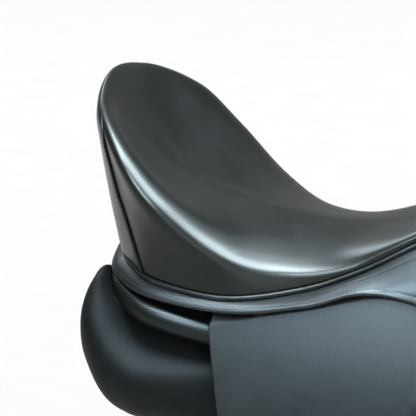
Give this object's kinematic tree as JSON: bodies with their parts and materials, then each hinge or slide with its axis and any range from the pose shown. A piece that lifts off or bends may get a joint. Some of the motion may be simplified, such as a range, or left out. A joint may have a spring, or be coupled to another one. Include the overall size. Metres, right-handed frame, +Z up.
{
  "type": "dressage saddle",
  "caption": "Black leather dressage saddle with a deep dished seat, high cantle, skirts, lifting flaps with knee blocks, girth straps, stirrup bars, dee rings and flocked panels.",
  "frame": {"origin": "on the line of the horse's spine, under the deepest point of the seat", "axes": "+X forward to the pommel, +Y to the near side (left), +Z up"},
  "size_m": [0.4613, 0.3922, 0.691],
  "materials": {
    "seat_leather": "smooth, glossy",
    "flap_leather": "fine grain, satin",
    "panel_leather": "smooth, soft satin",
    "strap_leather": "firm, satin",
    "seat_foam": "open cell foam",
    "webbing": "woven",
    "moulded_tree": "moulded, matte",
    "steel": "polished stainless"
  },
  "bodies": {
    "saddle": {"seat_cover": "seat_leather", "cantle_back": "seat_leather", "seat_welt": "seat_leather", "seat_foam": "seat_foam", "seat_web_left": "webbing", "seat_web_right": "webbing", "girth_web_front": "webbing", "girth_web_rear": "webbing", "tree": "moulded_tree", "gullet_plate": "steel", "head_rivets": "steel", "head_lining": "seat_leather", "skirt_left": "seat_leather", "skirt_right": "seat_leather", "front_facing": "seat_leather", "saddle_nail_left": "steel", "saddle_nail_right": "steel", "rear_facing": "seat_leather", "panel_left": "panel_leather", "panel_right": "panel_leather", "gullet_lining": "seat_leather", "panel_screws": "steel", "point_pocket_left": "seat_leather", "point_pocket_right": "seat_leather", "flap_head_left": "flap_leather", "flap_head_right": "flap_leather", "sweat_flap_left": "seat_leather", "sweat_flap_right": "seat_leather", "knee_block_left": "seat_leather", "knee_block_right": "seat_leather", "stirrup_bar_left": "steel", "stirrup_bar_right": "steel", "bar_rivets_left": "steel", "bar_rivets_right": "steel", "dee_staple_left": "steel", "dee_staple_right": "steel"},
    "flap_left": {"flap_left": "flap_leather"},
    "girth_strap_front_left": {"girth_strap_front_left": "strap_leather"},
    "girth_strap_rear_left": {"girth_strap_rear_left": "strap_leather"},
    "safety_catch_left": {"safety_catch_left": "steel"},
    "dee_ring_left": {"dee_ring_left": "steel"},
    "flap_right": {"flap_right": "flap_leather"},
    "girth_strap_front_right": {"girth_strap_front_right": "strap_leather"},
    "girth_strap_rear_right": {"girth_strap_rear_right": "strap_leather"},
    "safety_catch_right": {"safety_catch_right": "steel"},
    "dee_ring_right": {"dee_ring_right": "steel"}
  },
  "joints": [
    {"name": "flap_left_lift", "type": "hinge", "parent": "saddle", "child": "flap_left", "pos_m": [0, 0.1348, 0.026], "axis": [1, 0, 0], "range_deg": [0, 75]},
    {"name": "girth_strap_front_left_swing", "type": "hinge", "parent": "saddle", "child": "girth_strap_front_left", "pos_m": [0.05, 0.11804, 0.04], "axis": [0, 1, 0], "range_deg": [-6, 6]},
    {"name": "girth_strap_rear_left_swing", "type": "hinge", "parent": "saddle", "child": "girth_strap_rear_left", "pos_m": [-0.03, 0.11804, 0.04], "axis": [0, 1, 0], "range_deg": [-6, 6]},
    {"name": "safety_catch_left_turn", "type": "hinge", "parent": "saddle", "child": "safety_catch_left", "pos_m": [0.093, 0.085, 0.074], "axis": [0, 1, 0], "range_deg": [0, 70]},
    {"name": "dee_ring_left_swing", "type": "hinge", "parent": "saddle", "child": "dee_ring_left", "pos_m": [0.2109, 0.062, 0.06473], "axis": [0, -0.7071, 0.7071], "range_deg": [-6, 100]},
    {"name": "flap_right_lift", "type": "hinge", "parent": "saddle", "child": "flap_right", "pos_m": [0, -0.1348, 0.026], "axis": [-1, 0, 0], "range_deg": [0, 75]},
    {"name": "girth_strap_front_right_swing", "type": "hinge", "parent": "saddle", "child": "girth_strap_front_right", "pos_m": [0.05, -0.11804, 0.04], "axis": [0, 1, 0], "range_deg": [-6, 6]},
    {"name": "girth_strap_rear_right_swing", "type": "hinge", "parent": "saddle", "child": "girth_strap_rear_right", "pos_m": [-0.03, -0.11804, 0.04], "axis": [0, 1, 0], "range_deg": [-6, 6]},
    {"name": "safety_catch_right_turn", "type": "hinge", "parent": "saddle", "child": "safety_catch_right", "pos_m": [0.093, -0.085, 0.074], "axis": [0, 1, 0], "range_deg": [0, 70]},
    {"name": "dee_ring_right_swing", "type": "hinge", "parent": "saddle", "child": "dee_ring_right", "pos_m": [0.2109, -0.062, 0.06473], "axis": [0, -0.7071, -0.7071], "range_deg": [-6, 100]}
  ]
}
